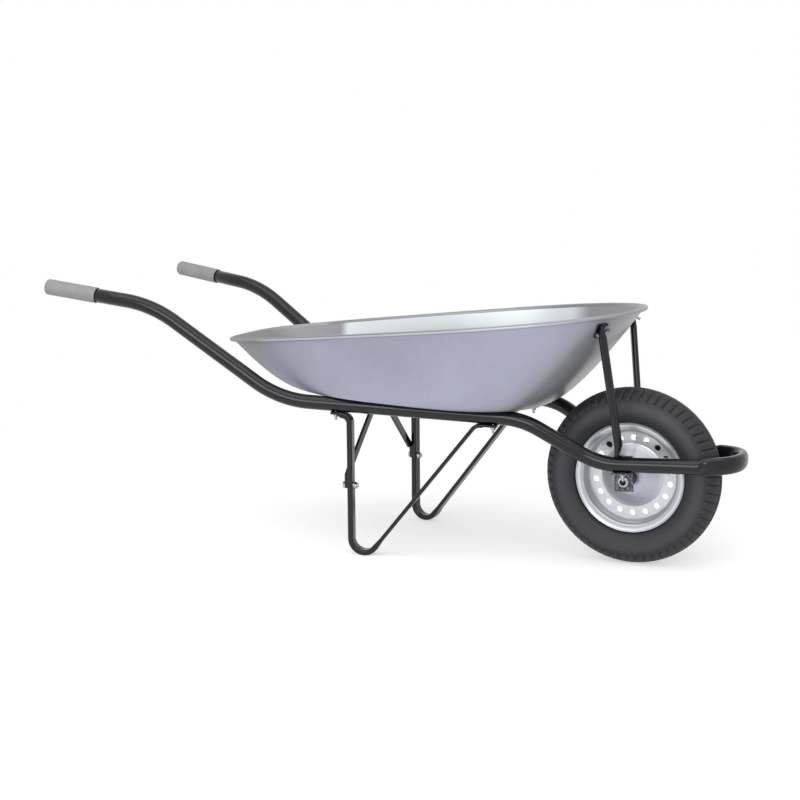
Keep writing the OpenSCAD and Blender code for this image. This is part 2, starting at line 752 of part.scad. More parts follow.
// Frame of a brace bolt: z points back through the right leg and the brace tab
module brace_bolt_frame() {
    leg_frame() translate([0, 0, brace_bolt_height]) rotate([0, -90, 0]) children();
}
module brace_bolts() {
    grip = leg_thick + brace_thick + 2 * seat_gap + washer_thick + nut_high(brace_bolt_d);
    color(bright_zinc) both_sides() brace_bolt_frame()
        translate([0, 0, leg_thick / 2 + brace_thick + 2 * seat_gap]) hex_bolt(brace_bolt_d, grip + 3);
}
module brace_bolt_washers() {
    color(bright_zinc) both_sides() brace_bolt_frame()
        translate([0, 0, -leg_thick / 2 - washer_thick - seat_gap / 2]) washer(brace_bolt_d);
}
module brace_bolt_nuts() {
    color(bright_zinc) both_sides() brace_bolt_frame()
        translate([0, 0, -leg_thick / 2 - washer_thick - seat_gap - nut_high(brace_bolt_d)])
            hex_nut(brace_bolt_d);
}

// Long enough to end in the notch of the axle, a little above its middle
bracket_bolt_len = tube_over_axle + tube_r + 2 * seat_gap + strut_pad_thick - bolt_d / 2;
module bracket_bolts() {
    color(bright_zinc) both_sides() axle_frame()
        translate([0, -side_spacing / 2, tube_over_axle + tube_r + 2 * seat_gap + strut_pad_thick])
            dome_bolt(bolt_d, bracket_bolt_len);
}
module bracket_bolt_nuts() {
    color(bright_zinc) both_sides() axle_frame()
        translate([0, -side_spacing / 2, bracket_top - bracket_thick - seat_gap / 2 - nut_high(bolt_d)])
            hex_nut(bolt_d);
}

// Bolts through the tray wall, heads inside the tray and nuts on the strut pads
module strut_wall_bolts() {
    color(bright_zinc) both_sides() for (spot = strut_bolts) strut_seat(spot)
        translate([0, 0, -tray_sheet - seat_gap - head_room])
            rotate([180, 0, 0]) dome_bolt(bolt_d, spot[2]);
}
module strut_wall_nuts() {
    color(bright_zinc) both_sides() for (spot = strut_bolts) strut_seat(spot)
        translate([0, 0, strut_pad_thick + 2 * seat_gap]) hex_nut(bolt_d);
}

// ---- Wheel -----------------------------------------------------------------------

// Frame of the wheel: its own axis is z, and z points to the right side of the barrow
module wheel_frame() {
    translate([x_axle, 0, axle_height]) rotate([90, 0, 0]) children();
}

disc_r = 96;
dome_r = 68;
dome_high = hub_half - 2;

hub_outer_r = hub_r - rim_sheet;
hub_bore_r = hub_outer_r - 3;
bush_len = 18;
module hub_tube() {
    color(zinc) wheel_frame() difference() {
        cylinder(h = 2 * hub_half, r = hub_outer_r, center = true);
        cylinder(h = 2 * hub_half + 2, r = hub_bore_r, center = true);
    }
}

// Flanged plastic bush in the right end of the hub tube
module hub_bush() {
    color(plastic_black) wheel_frame() difference() {
        union() {
            translate([0, 0, hub_half - bush_len])
                cylinder(h = bush_len + seat_gap, r = hub_bore_r - seat_gap / 4);
            translate([0, 0, hub_half + seat_gap]) cylinder(h = bush_flange - seat_gap, r = bush_flange_r);
        }
        cylinder(h = 2 * side_spacing, d = axle_d + 2 * run_play, center = true);
    }
}
module hub_bush_right() { hub_bush(); }
module hub_bush_left() { mirror([0, 1, 0]) hub_bush(); }

// Points of a round corner of radius r at b, between the lines a-b and b-c
function round_corner(a, b, c, r, steps = 5) =
    let (d = unit(b - a), e = unit(c - b), full = turn(a, b, c))
    let (inward = sign(d[0] * e[1] - d[1] * e[0]) * [-d[1], d[0]])
    let (centre = b - d * r * tan(full / 2) + inward * r)
    [for (k = [0:steps]) centre + r * (d * sin(full * k / steps) - inward * cos(full * k / steps))];
function rounded(pts, radii) = concat(
    [pts[0]],
    [for (i = [1:len(pts) - 2]) each round_corner(pts[i - 1], pts[i], pts[i + 1], radii[i - 1])],
    [pts[len(pts) - 1]]
);
// The same line moved sideways by the sheet's thickness
function beside(pts, w) = [for (i = [0:len(pts) - 1])
    let (d = unit(pts[min(i + 1, len(pts) - 1)] - pts[max(i - 1, 0)])) pts[i] + w * [d[1], -d[0]]];

seat_width_in = 6;
// Section of the right rim half on its tyre side: radius first, then distance from the
// middle plane. Flange, bead seat, flat disc, dome and the collar round the hub tube.
rim_line = rounded([
    [flange_r, rim_half - rim_sheet + 2.5],
    [flange_r - 5, rim_half - rim_sheet],
    [seat_r + 1, rim_half - rim_sheet - 1],
    [seat_r - 1, seat_width_in],
    [disc_r, seat_gap / 2],
    [dome_r, seat_gap / 2],
    [hub_r + 14, dome_high - 5],
    [hub_r - rim_sheet + seat_gap / 4, dome_high - 2.5],
    [hub_r - rim_sheet + seat_gap / 4, hub_half - 0.2]
], [3, 4, 3, 3, 8, 14, 1.5]);

module rim_half() {
    color(zinc) wheel_frame() difference() {
        rotate_extrude() polygon(concat(rim_line, reversed(beside(rim_line, rim_sheet))));
        for (i = [0:hole_count - 1]) rotate(90 + 360 * i / hole_count) translate([hole_pitch_r, 0, -5])
            cylinder(h = 15, d = hole_d);
    }
}
module rim_half_right() { rim_half(); }
module rim_half_left() {
    difference() {
        mirror([0, 1, 0]) rim_half();
        valve_frame() translate([0, 0, seat_r - 10]) cylinder(h = 20, d = valve_d + 2 * seat_gap);
    }
}

tyre_wall = 7;
bead_width = 9;
// Height of the tyre's section over the rim, and the radius that rounds it
section_high = axle_height - seat_r;
section_round = min(section_high, tyre_width) / 2 - 0.5;
tyre_mid_r = seat_r + section_high / 2;

// Section of the tyre in the plane of its axis, drawn inset from its outer surface
module tyre_section(inset = 0) {
    translate([tyre_mid_r, 0])
        soft_rect(section_high - 2 * inset, tyre_width - 2 * inset, section_round - inset, 96);
}
// Half width of that section at wheel radius x
function section_half(x, inset = 0) =
    let (r = section_round - inset, out = max(0, abs(x - tyre_mid_r) - section_high / 2 + section_round))
    tyre_width / 2 - section_round + sqrt(max(0, r * r - out * out));

// The sidewall lies lower than the tread, which ends in a step on the shoulder
sidewall_inset = 2;
tread_low_r = axle_height - tread_reach;
// Half width of the unbroken rib round the crown, between two narrow grooves
crown_rib = 9;
crown_groove = 3;
// Width of a groove between two lugs
groove_wide = 2 * PI * axle_height / lug_count / 4;

// Outer surface of the tyre in section: the carcass with the thicker tread on it
module tyre_profile() {
    difference() {
        union() {
            tyre_section(sidewall_inset);
            intersection() {
                tyre_section();
                translate([tread_low_r, -tyre_width]) square(2 * tyre_width);
            }
        }
        for (s = [-1, 1]) translate([axle_height, s * (crown_rib + crown_groove / 2)])
            square([2 * lug_depth, crown_groove], center = true);
    }
}

// Flat-bottomed groove between two lugs, square to the shoulder, from the crown groove
// down to the sidewall
module lug_groove() {
    shoulder_r = section_round - lug_depth;
    start = asin((crown_rib + crown_groove) / shoulder_r);
    end = acos((tread_low_r - tyre_mid_r) / section_round) + 4;
    tilt = (start + end) / 2;
    reach = shoulder_r * cos((end - start) / 2) + 1;
    long = 2 * shoulder_r * tan((end - start) / 2);
    translate([tyre_mid_r, 0, 0]) rotate([0, -tilt, 0]) translate([reach, 0, -long / 2])
        cube([2 * section_round, groove_wide, long]);
}

// Bead foot of the tyre inside the right flange, run into the carcass above it
module bead_foot() {
    bead_out = rim_half - rim_sheet - 1 - seat_gap;
    neck = flange_r + 1.5;
    polygon([
        [seat_r + 0.4, bead_out - bead_width],
        [seat_r + 1, bead_out - 4],
        [seat_r + 5, bead_out],
        [neck, bead_out],
        [neck, section_half(neck, sidewall_inset) - 1],
        [neck + 4, section_half(neck + 4, sidewall_inset) - 1],
        [neck + 8, section_half(neck + 8, tyre_wall) + 0.5],
        [seat_r + 8, bead_out - bead_width]
    ]);
}

// Carcass with a bead foot on each side and a tread of separate lugs on each shoulder,
// those of one side set half a pitch round from those of the other
module tyre() {
    pitch = 360 / lug_count;
    color(rubber_black) wheel_frame() {
        difference() {
            rotate_extrude($fn = 128) difference() {
                tyre_profile();
                tyre_section(tyre_wall);
                translate([0, -tyre_width]) square([flange_r + 2.5, 2 * tyre_width]);
            }
            for (side = [0, 1], i = [0:lug_count - 1])
                mirror([0, 0, side]) rotate((i + side / 2) * pitch) lug_groove();
        }
        for (side = [0, 1]) mirror([0, 0, side]) rotate_extrude($fn = 128) bead_foot();
    }
}

inner_tube_wall = 2;
inner_tube_r = min(section_high, tyre_width) / 2 - tyre_wall - 4;
inner_tube_mid_r = axle_height - tyre_wall - seat_gap - inner_tube_r;
module inner_tube() {
    color(rubber_black) wheel_frame() rotate_extrude($fn = 96)
        translate([inner_tube_mid_r, 0]) ring_profile(inner_tube_r, inner_tube_wall);
}

valve_d = 8;
valve_reach = 22;
valve_offset = 11.5;
// Frame of the valve on the wheel's left side: z runs outward along its own radius
module valve_frame() {
    translate([x_axle, valve_offset, axle_height]) rotate([0, 170, 0]) children();
}
// Rubber stem from the inner tube through the rim, with a narrower brass neck
module tube_valve() {
    root = inner_tube_mid_r - sqrt(pow(inner_tube_r, 2) - pow(valve_offset, 2)) - seat_gap - 1;
    color(rubber_black) valve_frame() rotate_extrude() {
        translate([0, seat_r - valve_reach + 6]) square([valve_d / 2, root - seat_r + valve_reach - 6]);
        translate([0, seat_r - valve_reach - 6]) square([valve_d / 2 - 1.5, 13]);
    }
}
module valve_cap() {
    color(plastic_black) valve_frame() difference() {
        translate([0, 0, seat_r - valve_reach - 8]) cylinder(h = 12, d = valve_d + 0.6);
        translate([0, 0, seat_r - valve_reach - 6]) cylinder(h = 12, d = valve_d - 3 + seat_gap);
    }
}

frame_tube();
grip_left();
grip_right();
tray();
leg_left();
leg_right();
leg_brace();
strut_left();
strut_right();
axle_bracket_left();
axle_bracket_right();
axle_tube();
axle_spacer_left();
axle_spacer_right();
tray_bolts();
tray_bolt_washers();
tray_bolt_nuts();
brace_bolts();
brace_bolt_washers();
brace_bolt_nuts();
bracket_bolts();
bracket_bolt_nuts();
strut_wall_bolts();
strut_wall_nuts();
hub_tube();
hub_bush_left();
hub_bush_right();
rim_half_left();
rim_half_right();
tyre();
inner_tube();
tube_valve();
valve_cap();
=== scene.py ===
import json
import math

import bmesh
import bpy
from mathutils import Matrix, Vector


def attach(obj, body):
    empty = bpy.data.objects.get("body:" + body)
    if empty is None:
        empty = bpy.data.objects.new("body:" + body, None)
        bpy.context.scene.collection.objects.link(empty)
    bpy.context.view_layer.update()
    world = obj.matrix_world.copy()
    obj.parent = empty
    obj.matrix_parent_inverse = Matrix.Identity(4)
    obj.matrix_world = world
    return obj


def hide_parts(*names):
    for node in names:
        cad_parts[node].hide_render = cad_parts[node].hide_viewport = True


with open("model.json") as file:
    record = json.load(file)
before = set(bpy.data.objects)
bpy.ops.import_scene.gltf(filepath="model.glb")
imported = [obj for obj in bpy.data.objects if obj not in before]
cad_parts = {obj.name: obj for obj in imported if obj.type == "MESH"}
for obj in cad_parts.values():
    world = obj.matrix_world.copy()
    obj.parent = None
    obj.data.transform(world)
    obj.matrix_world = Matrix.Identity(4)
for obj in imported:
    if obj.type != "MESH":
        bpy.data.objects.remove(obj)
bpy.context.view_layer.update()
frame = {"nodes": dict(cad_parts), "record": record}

MM = 0.001
# The wheel's axle in the shared frame, in mm
AXLE_X = 530
AXLE_Z = 191.4


# ---- Materials -------------------------------------------------------------


def linear(hex_code):
    """sRGB hex to the linear colour that a shader takes."""
    channels = [int(hex_code[i : i + 2], 16) / 255 for i in (1, 3, 5)]
    return [c / 12.92 if c <= 0.04045 else ((c + 0.055) / 1.055) ** 2.4 for c in channels] + [1.0]


def per_metre(size_mm):
    """Texture scale at which one pattern cell is size_mm across."""
    return 1000 / size_mm


def add(tree, kind, inputs=None, **settings):
    """Adds a node, sets its own values, and sets or links each input."""
    node = tree.nodes.new("ShaderNode" + kind)
    for name, value in settings.items():
        setattr(node, name, value)
    for name, value in (inputs or {}).items():
        if isinstance(value, bpy.types.NodeSocket):
            tree.links.new(value, node.inputs[name])
        else:
            node.inputs[name].default_value = value
    return node


def ramp(tree, factor, stops):
    """Colour ramp from (position, hex) stops."""
    node = add(tree, "ValToRGB", {"Fac": factor})
    elements = node.color_ramp.elements
    while len(elements) < len(stops):
        elements.new(0.5)
    for element, (position, hex_code) in zip(elements, stops):
        element.position = position
        element.color = linear(hex_code)
    return node.outputs["Color"]


def span(tree, factor, low, high):
    """Maps a 0 to 1 pattern to a value between low and high."""
    return add(tree, "MapRange", {"Value": factor, "To Min": low, "To Max": high}).outputs["Result"]


def finish_of(name, **values):
    """A new material with its tree, its shader and the piece's own coordinates."""
    material = bpy.data.materials.new(name)
    material.use_nodes = True
    tree = material.node_tree
    shader = tree.nodes["Principled BSDF"]
    for socket, value in values.items():
        shader.inputs[socket.replace("_", " ")].default_value = value
    place = add(tree, "TexCoord").outputs["Object"]
    return material, tree, shader, place


def feed(tree, shader, **sources):
    """Links patterns to the shader's sockets, whose spaces are written as underscores."""
    for socket, source in sources.items():
        tree.links.new(source, shader.inputs[socket.replace("_", " ")])


def relief(tree, height, depth_mm):
    """Bump of a real depth."""
    inputs = {"Height": height, "Strength": 1.0, "Distance": depth_mm * MM}
    return add(tree, "Bump", inputs).outputs["Normal"]


def from_axle(tree, place, near_mm, far_mm):
    """0 to 1 over a band of radii round the wheel's axle."""
    middle = (AXLE_X * MM, 0, AXLE_Z * MM)
    arm = add(tree, "VectorMath", {0: place, 1: middle}, operation="SUBTRACT").outputs["Vector"]
    arm = add(tree, "VectorMath", {0: arm, 1: (1, 0, 1)}, operation="MULTIPLY").outputs["Vector"]
    radius = add(tree, "VectorMath", {0: arm}, operation="LENGTH").outputs["Value"]
    limits = {"Value": radius, "From Min": near_mm * MM, "From Max": far_mm * MM}
    return add(tree, "MapRange", limits).outputs["Result"]


def blended(tree, share, first, second):
    """Mix of two colours or colour patterns."""
    node = add(tree, "Mix", {"Factor": share}, data_type="RGBA")
    for socket, colour in ((node.inputs[6], first), (node.inputs[7], second)):
        if isinstance(colour, str):
            socket.default_value = linear(colour)
        else:
            tree.links.new(colour, socket)
    return node.outputs[2]


def powder_coat():
    """Gloss black powder coat on steel tube: a hard film, a faint orange peel, a little dust."""
    material, tree, shader, place = finish_of("black_powder_coat", IOR=1.44)
    peel = add(
        tree, "TexNoise", {"Vector": place, "Scale": per_metre(4.0), "Detail": 2.0}
    ).outputs["Fac"]
    cloud = add(
        tree, "TexNoise", {"Vector": place, "Scale": per_metre(45), "Detail": 4.0}
    ).outputs["Fac"]
    feed(
        tree,
        shader,
        Base_Color=ramp(tree, cloud, [(0.3, "#08090f"), (0.72, "#13151d")]),
        Roughness=span(tree, cloud, 0.1, 0.2),
        Normal=relief(tree, peel, 0.02),
    )
    return material


def grip_vinyl():
    """Grey vinyl dipped over the tube ends: matt, with a fine leathery grain."""
    material, tree, shader, place = finish_of("grey_grip_vinyl")
    grain = add(
        tree, "TexVoronoi", {"Vector": place, "Scale": per_metre(1.6)}, feature="F1"
    ).outputs["Distance"]
    cloud = add(
        tree, "TexNoise", {"Vector": place, "Scale": per_metre(25), "Detail": 5.0}
    ).outputs["Fac"]
    feed(
        tree,
        shader,
        Base_Color=ramp(tree, cloud, [(0.3, "#909090"), (0.7, "#9b9b9b")]),
        Roughness=span(tree, cloud, 0.52, 0.66),
        Normal=relief(tree, grain, 0.06),
    )
    return material


# Stations in mm between which the tray goes from scuffed matt to clean
SCUFFED_X = -320
CLEAN_X = 0
# How far a face looks sideways where the long sides' colour of painted light begins, and where it
# is full
SIDE_LIGHT_FROM = 0.5
SIDE_LIGHT_FULL = 0.8


def galvanised(name, sides, ends, side_light_span, fades, metal):
    """Galvanised deep-drawn steel: soft clouds over faint spangle, the ends greyer and duller
    than the long sides, their two colours being painted light, shade and reflection set by
    which way a face looks. The sides' colour runs between two stations in mm, and the steel
    is scuffed matt towards the handles. A fade is the length over which that colour comes in at
    a station, or with a minus goes out. The metal shares are for the ends and the sides."""
    material, tree, shader, place = finish_of(name)
    cloud = add(
        tree, "TexNoise", {"Vector": place, "Scale": per_metre(90), "Detail": 5.0}
    ).outputs["Fac"]
    spangle = add(
        tree, "TexVoronoi", {"Vector": place, "Scale": per_metre(7)}, feature="F1"
    ).outputs["Color"]
    grey = add(tree, "RGBToBW", {"Color": spangle}).outputs["Val"]
    both = add(tree, "Mix", {"Factor": 0.18, "A": cloud, "B": grey}).outputs["Result"]
    normal = add(tree, "TexCoord").outputs["Normal"]
    across = add(tree, "SeparateXYZ", {"Vector": normal}).outputs["Y"]
    sideways = add(tree, "Math", {0: across}, operation="ABSOLUTE").outputs[0]
    limits = {"Value": sideways, "From Min": SIDE_LIGHT_FROM, "From Max": SIDE_LIGHT_FULL}
    side = add(tree, "MapRange", limits).outputs["Result"]
    along = add(tree, "SeparateXYZ", {"Vector": place}).outputs["X"]
    for station, fade in zip(side_light_span, fades):
        start, end = (station - fade / 2) * MM, (station + fade / 2) * MM
        limits = {"Value": along, "From Min": start, "From Max": end}
        within = add(tree, "MapRange", limits, interpolation_type="SMOOTHSTEP").outputs["Result"]
        side = add(tree, "Math", {0: side, 1: within}, operation="MULTIPLY").outputs[0]
    # The ends' and the long sides' colours paint in light, shade and reflection by which way a face
    # looks, not a change in the zinc
    end_painted_light = ramp(tree, both, [(0.25, ends[0]), (0.75, ends[1])])
    side_painted_light = ramp(tree, both, [(0.25, sides[0]), (0.75, sides[1])])
    limits = {"Value": along, "From Min": SCUFFED_X * MM, "From Max": CLEAN_X * MM}
    clean = add(tree, "MapRange", limits).outputs["Result"]
    lustre = add(tree, "Math", {0: side, 1: clean}, operation="MULTIPLY").outputs[0]
    sheen, scuff = span(tree, both, 0.28, 0.38), span(tree, clean, 0.3, 0)
    rough = add(tree, "Math", {0: sheen, 1: scuff}, operation="ADD")
    drawn = add(tree, "Mapping", {"Vector": place, "Scale": (6.0, 6.0, 0.6)}).outputs["Vector"]
    streak = add(
        tree, "TexNoise", {"Vector": drawn, "Scale": per_metre(40), "Detail": 4.0}
    ).outputs["Fac"]
    feed(
        tree,
        shader,
        Base_Color=blended(tree, side, end_painted_light, side_painted_light),
        Metallic=span(tree, lustre, *metal),
        Roughness=rough.outputs[0],
        Normal=relief(tree, streak, 0.012),
    )
    return material


def wheel_enamel():
    """Silver wheel enamel: aluminium flake in a glossy film, painted darker and greyer in the
    channel as shade, and on the rolled edge two painted highlights with a fine dark line of
    painted shade between them."""
    material, tree, shader, place = finish_of("silver_wheel_enamel", Metallic=0.6, Coat_Weight=0.2)
    flake = add(
        tree, "TexVoronoi", {"Vector": place, "Scale": per_metre(0.9)}, feature="F1"
    ).outputs["Color"]
    cloud = add(
        tree, "TexNoise", {"Vector": place, "Scale": per_metre(35), "Detail": 4.0}
    ).outputs["Fac"]
    sparkle = add(tree, "RGBToBW", {"Color": flake}).outputs["Val"]
    both = add(tree, "Mix", {"Factor": 0.3, "A": cloud, "B": sparkle}).outputs["Result"]
    dome = [(0.0, "#b4b6c3"), (0.48, "#bbbdc8")]
    hole_ring = [(0.53, "#d3d6da"), (0.80, "#cdd0d4")]
    # The grey channel is painted shade; the rolled edge has two painted highlights with painted
    # shade between
    channel = [(0.83, "#a2a6a9"), (0.91, "#adb1b4")]
    rolled_edge_light_and_shade = [(0.935, "#d6d9e0"), (0.962, "#d6d9e0"), (0.972, "#8a8d93"), (0.982, "#cccfd4")]
    rings = ramp(tree, from_axle(tree, place, 0, 120), dome + hole_ring + channel + rolled_edge_light_and_shade)
    feed(
        tree,
        shader,
        Base_Color=blended(tree, span(tree, both, 0.0, 0.25), rings, "#b2b5bc"),
        Roughness=span(tree, both, 0.24, 0.36),
        Normal=relief(tree, sparkle, 0.01),
    )
    return material


def phosphated_steel():
    """Phosphated plate of the axle brackets: dull dark grey, paler and mottled where handled."""
    material, tree, shader, place = finish_of("phosphated_steel", Metallic=0.3)
    mottle = add(
        tree, "TexNoise", {"Vector": place, "Scale": per_metre(5), "Detail": 6.0}
    ).outputs["Fac"]
    feed(
        tree,
        shader,
        Base_Color=ramp(tree, mottle, [(0.38, "#303136"), (0.52, "#4e4f55"), (0.66, "#8b8c92")]),
        Roughness=span(tree, mottle, 0.36, 0.6),
        Normal=relief(tree, mottle, 0.03),
    )
    return material


def zinc_plate():
    """Bright zinc plating on small fasteners and the axle: bluish, lightly tumbled."""
    material, tree, shader, place = finish_of("bright_zinc_plate", Metallic=1.0)
    tumbled = add(
        tree, "TexNoise", {"Vector": place, "Scale": per_metre(2), "Detail": 3.0}
    ).outputs["Fac"]
    feed(
        tree,
        shader,
        Base_Color=ramp(tree, tumbled, [(0.3, "#a4a7ad"), (0.7, "#bcbfc4")]),
        Roughness=span(tree, tumbled, 0.22, 0.36),
        Normal=relief(tree, tumbled, 0.02),
    )
    return material


def tyre_rubber():
    """Vulcanised carbon-black rubber: matt charcoal with a fine mould texture, pale dust and worn
    tread, painted dark by the rim as shade and paler on the bulge of the sidewall as a painted
    sheen."""
    material, tree, shader, place = finish_of("tyre_rubber", IOR=1.52)
    mould = add(
        tree, "TexNoise", {"Vector": place, "Scale": per_metre(1.5), "Detail": 3.0}
    ).outputs["Fac"]
    dust = add(
        tree, "TexNoise", {"Vector": place, "Scale": per_metre(30), "Detail": 5.0}
    ).outputs["Fac"]
    # Dark by the rim is painted shade, and the paler band on the bulge is a painted sheen
    shade_by_rim = [(0.0, "#101114"), (0.2, "#15161a")]
    bulge = [(0.38, "#36373e"), (0.52, "#3b3c44")]
    tread = [(0.66, "#1f2025"), (1.0, "#191a1e")]
    rings = ramp(tree, from_axle(tree, place, 118, 192), shade_by_rim + bulge + tread)
    feed(
        tree,
        shader,
        Base_Color=blended(tree, span(tree, dust, 0.0, 0.5), rings, "#2c2d31"),
        Roughness=span(tree, dust, 0.5, 0.7),
        Normal=relief(tree, mould, 0.04),
    )
    return material


def black_nylon():
    """Black moulded nylon of the bushes and spacers, a little glossier than the rubber."""
    material, tree, shader, place = finish_of("black_nylon")
    cloud = add(
        tree, "TexNoise", {"Vector": place, "Scale": per_metre(12), "Detail": 4.0}
    ).outputs["Fac"]
    grain = add(tree, "TexNoise", {"Vector": place, "Scale": per_metre(0.8)}).outputs["Fac"]
    feed(
        tree,
        shader,
        Base_Color=ramp(tree, cloud, [(0.3, "#1c1c1e"), (0.7, "#28282b")]),
        Roughness=span(tree, cloud, 0.38, 0.52),
        Normal=relief(tree, grain, 0.02),
    )
    return material


# Outside the tray the long sides are painted lavender as a reflection of the room, and the ends
# grey;
# inside, the long sides are painted light and faintly green where they face the lamps, and the ends
# painted grey as shade. On the long sides the rolled rim is painted dark on top as shade and light
# at its edge as a highlight.
outside = ("#9d9fb0", "#a5a7b8"), ("#96979c", "#9e9fa4")
tray_outside = galvanised(
    "zinc_outside_painted_reflection", *outside, side_light_span=(-262, 500), fades=(110, -110), metal=(0.3, 0.8)
)
inside = ("#d0d8d5", "#d6d8e0"), ("#8e8e90", "#969698")
tray_inside = galvanised(
    "zinc_inside_painted_light", *inside, side_light_span=(-243, 342), fades=(24, -60), metal=(0.9, 0.9)
)
# On the long sides the rim's top is painted shade and its edge a painted highlight
top = ("#7e8187", "#868990"), ("#98989a", "#a0a0a2")
rim_top = galvanised(
    "rim_top_painted_shade", *top, side_light_span=(-281, 460), fades=(24, -60), metal=(0.7, 0.7)
)
edge = ("#b6b8c4", "#c0c2cc"), ("#98989a", "#a0a0a2")
rim_edge = galvanised(
    "rim_edge_painted_highlight", *edge, side_light_span=(-281, 460), fades=(24, -60), metal=(0.3, 0.35)
)

# One rubber serves the tyre and the tube inside it
rubber = tyre_rubber()
FINISHES = {
    "frame_paint": powder_coat(),
    "grip_vinyl": grip_vinyl(),
    "galvanised_tray": tray_outside,
    "zinc_plated": zinc_plate(),
    "wheel_steel": wheel_enamel(),
    "tyre_rubber": rubber,
    "tube_rubber": rubber,
    "black_plastic": black_nylon(),
}

bare_plate = phosphated_steel()
for part in frame["record"]["subparts"]:
    node = frame["nodes"][part["node"]]
    node.data.materials.clear()
    bracket = part["node"].startswith("axle_bracket")
    node.data.materials.append(bare_plate if bracket else FINISHES[part["material_slot"]])


# ---- Pieces drawn finer than their CAD nodes ---------------------------------

# Lengths are in mm. Radius of the frame's tube, and where its middle line has the loop's front
TUBE_R = 16
LOOP_X = 757
# Corners of that line at the rear and the front of the bed, and the bed's fall between them
BED_REAR = (AXLE_X - 750, 341)
BED_FRONT = (AXLE_X - 210, 319.5)
BED_FALL = (BED_REAR[1] - BED_FRONT[1]) / (BED_FRONT[0] - BED_REAR[0])
# Tray: thickness of the sheet, outer radius of the rolled rim, and gap over the tubes
SHEET = 1.2
BEAD_R = 4.5
SEAT = 0.2


def loft(name, rings, finishes, hoop=False):
    """Closed skin through closed rings of points in mm: a hoop joined to its own start, or
    else with each end drawn in to its middle."""
    rows, count = len(rings), len(rings[0])
    points = [p * MM for ring in rings for p in ring]
    faces, slots = [], []
    for j in range(rows if hoop else rows - 1):
        row, above = j * count, (j + 1) % rows * count
        for i in range(count):
            n = (i + 1) % count
            faces.append((row + i, row + n, above + n, above + i))
            slots.append(finishes[j])
    if not hoop:
        points += [sum(ring, Vector()) * MM / count for ring in (rings[0], rings[-1])]
        last = len(points) - 1
        for i in range(count):
            n = (i + 1) % count
            faces += [(last - 1, n, i), (last, (rows - 1) * count + i, (rows - 1) * count + n)]
            slots += [finishes[0], finishes[-1]]
    mesh = bpy.data.meshes.new(name)
    mesh.from_pydata(points, [], faces)
    mesh.polygons.foreach_set("use_smooth", [True] * len(faces))
    mesh.polygons.foreach_set("material_index", slots)
    mesh.update()
    piece = bpy.data.objects.new(name, mesh)
    bpy.context.collection.objects.link(piece)
    return piece


def signed_power(value, exponent):
    """Power of a value's size that keeps its sign, for squared-off ovals."""
    return math.copysign(abs(value) ** exponent, value)


def outline(turn, rear, front, half_width, widening, square_rear, square_front):
    """Point of a rounded outline at an angle in degrees, 0 at the front."""
    cosine, sine = math.cos(math.radians(turn)), math.sin(math.radians(turn))
    forward = (1 + cosine) / 2
    along = square_rear[0] + (square_front[0] - square_rear[0]) * forward
    across = square_rear[1] + (square_front[1] - square_rear[1]) * forward
    x = (front - rear) / 2 * signed_power(cosine, 2 / along)
    return (rear + front) / 2 + x, (half_width + widening * x) * signed_power(sine, 2 / across)


# Outlines of the tray's floor and rim: rear, front, half width, widening, and how square the
# rear and the front are
FLOOR = (AXLE_X - 746, AXLE_X - 198, 204, 0, (3.17, 3.17), (2.6, 2.6))
RIM = (AXLE_X - 939, AXLE_X + 9, 219.5, 0.1, (4.3, 3.85), (1.6, 2.5))
# Share of the way out to the rim at which the wall would meet the floor, were it not rounded
CORNER_SIDE = 0.55
CORNER_REAR = 0.43
CORNER_FRONT = 0.15
# Level up to which the wall curves out of the floor, and the height that it has there
CURVE_LEVEL = 0.75
CURVE_RISE = 0.85
# Height of the rim over the ground at the axle, and its rise for each mm forward
RIM_HIGH = 547
RIM_RISE = 0.0985


def wall(turn, level):
    """Outer skin of the tray in mm, level 0 at the floor and 1 at the rim."""
    floor_x, floor_y = outline(turn, *FLOOR)
    rim_x, rim_y = outline(turn, *RIM)
    cosine = math.cos(math.radians(turn))
    corner_end = CORNER_REAR if cosine < 0 else CORNER_FRONT
    corner = CORNER_SIDE + (corner_end - CORNER_SIDE) * cosine**2
    if level < CURVE_LEVEL:
        s = level / CURVE_LEVEL
        reach = 2 * s * (1 - s) * corner + s * s * (corner + (1 - corner) * CURVE_RISE)
        rise = s * s * CURVE_RISE
    else:
        straight = (level - CURVE_LEVEL) / (1 - CURVE_LEVEL)
        rise = CURVE_RISE + (1 - CURVE_RISE) * straight
        reach = corner + (1 - corner) * rise
    x = floor_x + (rim_x - floor_x) * reach
    y = floor_y + (rim_y - floor_y) * reach
    tube_line = BED_REAR[1] - BED_FALL * (x - BED_REAR[0])
    bed = tube_line + TUBE_R / math.cos(math.atan(BED_FALL)) + SEAT
    rim = RIM_HIGH + RIM_RISE * (x - AXLE_X)
    return Vector((x, y, bed * (1 - rise) + rim * rise))


def wall_normal(turn, level):
    """Outward direction of the tray's outer skin."""
    around = wall(turn + 0.5, level) - wall(turn - 0.5, level)
    upward = wall(turn, level + 0.01) - wall(turn, level - 0.01)
    return around.cross(upward).normalized()


def rolled_rim(turn, radius, angle):
    """Point of the rolled rim round its own centre, angle 0 outward and 90 up."""
    out = wall_normal(turn, 0.98)
    out = Vector((out.x, out.y, 0)).normalized()
    a = math.radians(angle)
    outward = out * (BEAD_R - SHEET + radius * math.cos(a))
    return wall(turn, 1) + outward + Vector((0, 0, radius * math.sin(a)))


# Degrees round the rolled rim at which it leaves the wall, and how far it is rolled from there
ROLL_FROM = 160
ROLL_BY = 290
# Level at which the wall ends and the rolled rim begins
ROLL_LEVEL = 0.97


